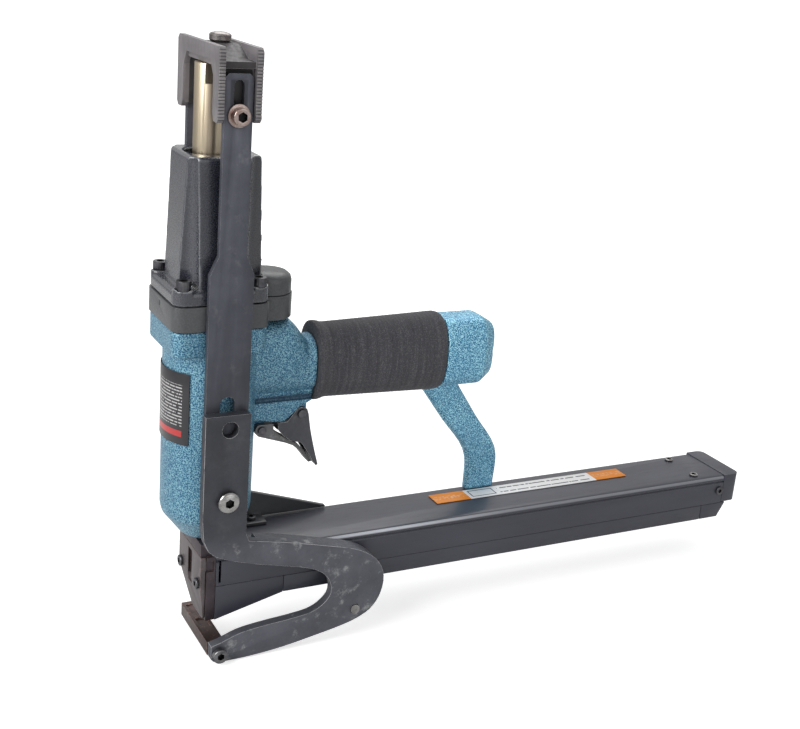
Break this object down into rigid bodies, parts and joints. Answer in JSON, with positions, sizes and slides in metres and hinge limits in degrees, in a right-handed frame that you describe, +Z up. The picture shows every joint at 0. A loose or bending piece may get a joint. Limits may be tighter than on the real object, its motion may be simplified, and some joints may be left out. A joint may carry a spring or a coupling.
{
  "type": "pneumatic plier stapler",
  "caption": "Air-driven plier stapler: blue hammer-finish body with a horizontal grip, long flat magazine, and a yoke, straps and hook that lift an anvil to the nose",
  "frame": {"origin": "on the underside of the anvil, in the middle plane of the straps and of the magazine", "axes": "+X runs back along the magazine to its end cap, +Y to the side away from the hook, +Z up along the clamp rod"},
  "size_m": [0.434, 0.0814, 0.3612],
  "materials": {
    "body_paint": "hammer-finish enamel",
    "cap_paint": "satin black enamel on a casting",
    "magazine_paint": "gloss slate enamel on sheet steel",
    "frame_steel": "blackened, edges worn bright",
    "nose_steel": "blued, worn reddish brown",
    "screw_steel": "plain, slightly tarnished",
    "inner_steel": "ground",
    "rod_gold": "yellow zinc plate on ground steel",
    "grip_rubber": "matte foam sleeve",
    "bumper_rubber": "amber urethane",
    "inlet_brass": "turned",
    "body_print": "black printed film with a red band",
    "magazine_print": "orange and white printed film"
  },
  "bodies": {
    "housing": {"body_casting": "body_paint", "handle_end": "body_paint", "handle_strut": "body_paint", "cap_base_plate": "cap_paint", "tower": "cap_paint", "exhaust_cover": "cap_paint", "magazine_bracket": "cap_paint", "magazine_end_cap": "cap_paint", "magazine_channel": "magazine_paint", "cap_screw_1": "frame_steel", "cap_screw_2": "frame_steel", "cap_screw_3": "frame_steel", "cap_screw_4": "frame_steel", "nose_block": "nose_steel", "nose_front_plate": "nose_steel", "magazine_screw_1": "screw_steel", "magazine_screw_2": "screw_steel", "magazine_side_screw": "screw_steel", "nose_screw_1": "screw_steel", "nose_screw_2": "screw_steel", "trigger_pin": "screw_steel", "lever_pin": "screw_steel", "guide_screw": "screw_steel", "bracket_screw": "screw_steel", "staple_rail": "inner_steel", "staple_stick": "inner_steel", "cylinder_liner": "inner_steel", "grip_sleeve": "grip_rubber", "bumper": "bumper_rubber", "air_inlet": "inlet_brass", "body_label": "body_print", "magazine_label": "magazine_print", "valve_bushing": "screw_steel"},
    "clamp_frame": {"clamp_rod": "rod_gold", "clamp_piston": "inner_steel", "yoke": "frame_steel", "yoke_screw": "screw_steel", "near_strap": "frame_steel", "far_strap": "frame_steel", "near_washer": "screw_steel", "far_washer": "screw_steel", "near_clamp_screw": "screw_steel", "far_clamp_screw": "screw_steel", "hook_arm": "frame_steel", "hook_screw": "screw_steel", "hook_pin": "screw_steel", "anvil": "nose_steel", "anvil_bolt": "screw_steel"},
    "driver": {"driver_piston": "inner_steel", "driver_blade": "inner_steel"},
    "trigger_body": {"trigger": "frame_steel"},
    "lever_body": {"clamp_lever": "frame_steel"},
    "drawer": {"magazine_shoe": "magazine_paint", "magazine_drawer": "magazine_paint", "drawer_block": "magazine_paint"},
    "pusher_body": {"pusher": "inner_steel"}
  },
  "joints": [
    {"name": "clamp_slide", "type": "slide", "parent": "housing", "child": "clamp_frame", "axis": [0, 0, 1], "range_m": [0, 0.0075], "stiffness_N_per_m": 500, "springref_m": -0.02},
    {"name": "driver_slide", "type": "slide", "parent": "housing", "child": "driver", "axis": [0, 0, -1], "range_m": [0, 0.038]},
    {"name": "trigger_pivot", "type": "hinge", "parent": "housing", "child": "trigger_body", "pos_m": [0.0564, 0, 0.1414], "axis": [0, -1, 0], "range_deg": [0, 12], "stiffness_Nm_per_rad": 0.25, "springref_deg": -17.19},
    {"name": "lever_pivot", "type": "hinge", "parent": "housing", "child": "lever_body", "pos_m": [0.0318, 0, 0.1323], "axis": [0, -1, 0], "range_deg": [0, 11]},
    {"name": "drawer_slide", "type": "slide", "parent": "housing", "child": "drawer", "axis": [1, 0, 0], "range_m": [0, 0.16]},
    {"name": "pusher_slide", "type": "slide", "parent": "housing", "child": "pusher_body", "axis": [1, 0, 0], "range_m": [0, 0.25], "stiffness_N_per_m": 20, "springref_m": -0.5}
  ],
  "couplings": [
    {"joint": "lever_pivot", "follows": "trigger_pivot", "ratio": 0.9}
  ]
}
